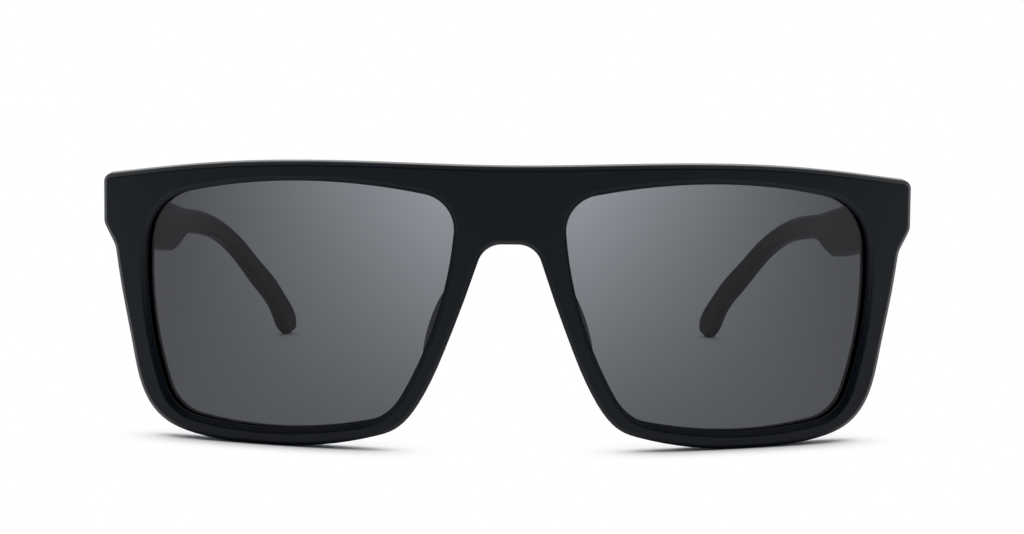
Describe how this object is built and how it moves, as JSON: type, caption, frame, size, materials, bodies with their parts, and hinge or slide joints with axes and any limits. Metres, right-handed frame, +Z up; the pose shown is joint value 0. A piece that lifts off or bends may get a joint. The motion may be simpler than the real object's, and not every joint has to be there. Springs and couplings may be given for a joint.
{
  "type": "flat top sunglasses",
  "caption": "Full-frame sunglasses with a straight top edge, large rounded tinted lenses in grooves, bonded nose pads and two temples that fold on barrel hinges",
  "frame": {"origin": "middle of the bounding box, on the level surface that the lower rims and the temple tips rest on", "axes": "the front lies across X, the wearer looks towards -Y, the temples run back along +Y and +Z is up; the wearer's left is +X"},
  "size_m": [0.147, 0.152, 0.051],
  "materials": {
    "frame": "matte black acetate",
    "temple": "matte black acetate",
    "nose_pad": "matte black acetate, bonded on",
    "lens": "neutral dark grey gradient tint",
    "core_wire": "drawn nickel silver",
    "hinge": "stamped nickel silver",
    "screw": "turned stainless steel",
    "rivet": "drawn nickel silver, filed flush"
  },
  "bodies": {
    "front": {"frame_front": "frame", "lens_left": "lens", "lens_right": "lens", "nose_pad_left": "nose_pad", "nose_pad_right": "nose_pad", "front_hinge_left": "hinge", "front_hinge_right": "hinge", "hinge_pin_left": "screw", "hinge_pin_right": "screw", "front_leaf_rivet_left": "rivet", "front_leaf_rivet_right": "rivet"},
    "left_temple": {"temple_left": "temple", "temple_core_left": "core_wire", "temple_hinge_left": "hinge", "temple_leaf_rivet_left": "rivet"},
    "right_temple": {"temple_right": "temple", "temple_core_right": "core_wire", "temple_hinge_right": "hinge", "temple_leaf_rivet_right": "rivet"}
  },
  "joints": [
    {"name": "left_fold", "type": "hinge", "parent": "front", "child": "left_temple", "pos_m": [0.06745, -0.0465, 0.0394], "axis": [0, 0, 1], "range_deg": [0, 84]},
    {"name": "right_fold", "type": "hinge", "parent": "front", "child": "right_temple", "pos_m": [-0.06745, -0.0465, 0.0394], "axis": [0, 0, -1], "range_deg": [0, 77]}
  ]
}
